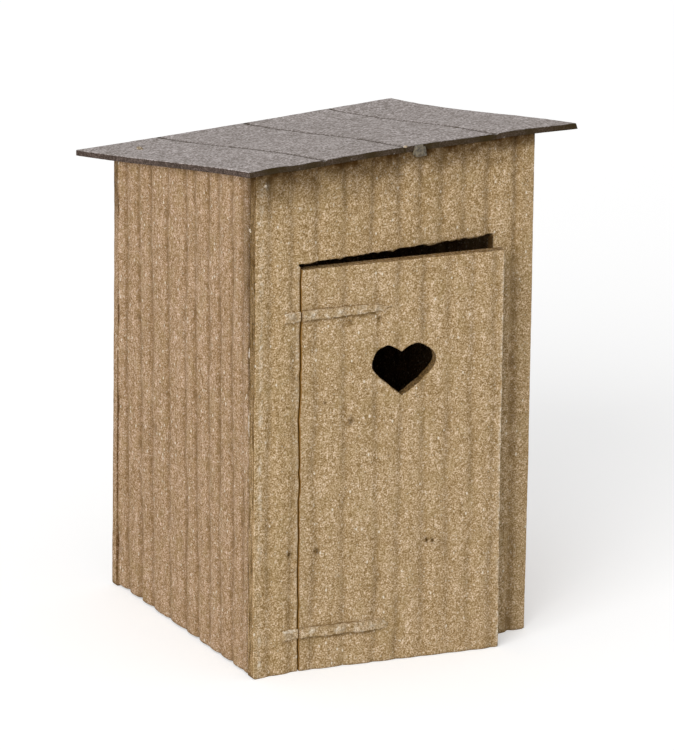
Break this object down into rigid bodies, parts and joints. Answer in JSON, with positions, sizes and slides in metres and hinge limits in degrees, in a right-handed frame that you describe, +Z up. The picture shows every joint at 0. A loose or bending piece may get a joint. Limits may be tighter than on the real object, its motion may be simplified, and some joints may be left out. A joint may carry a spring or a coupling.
{
  "type": "card scale model of a wooden outhouse",
  "caption": "Small card scale model of a plank outhouse with a lean-to roof, open underneath, and a hinged door with a heart cut-out.",
  "frame": {"origin": "under the middle of the whole model's box, on the surface that it stands on", "axes": "+Z up, +Y from the door to the back wall, +X along the front towards the door's free edge"},
  "size_m": [0.0182, 0.0204, 0.0266],
  "materials": {
    "wall_card": "matte",
    "door_card": "matte",
    "strap_card": "matte",
    "roof_card": "matte",
    "dried_glue": "satin"
  },
  "bodies": {
    "house": {"front_wall_left": "wall_card", "front_wall_right": "wall_card", "front_wall_over_door": "wall_card", "left_wall": "wall_card", "right_wall": "wall_card", "back_wall": "wall_card", "roof": "roof_card", "lower_hinge_plate": "strap_card", "upper_hinge_plate": "strap_card", "glue_bead": "dried_glue"},
    "door": {"door_leaf": "door_card", "lower_hinge_strap": "strap_card", "upper_hinge_strap": "strap_card"}
  },
  "joints": [
    {"name": "door_hinge", "type": "hinge", "parent": "house", "child": "door", "pos_m": [-0.00625, -0.00859, 0], "axis": [0, 0, -1], "range_deg": [-9, 81]}
  ]
}
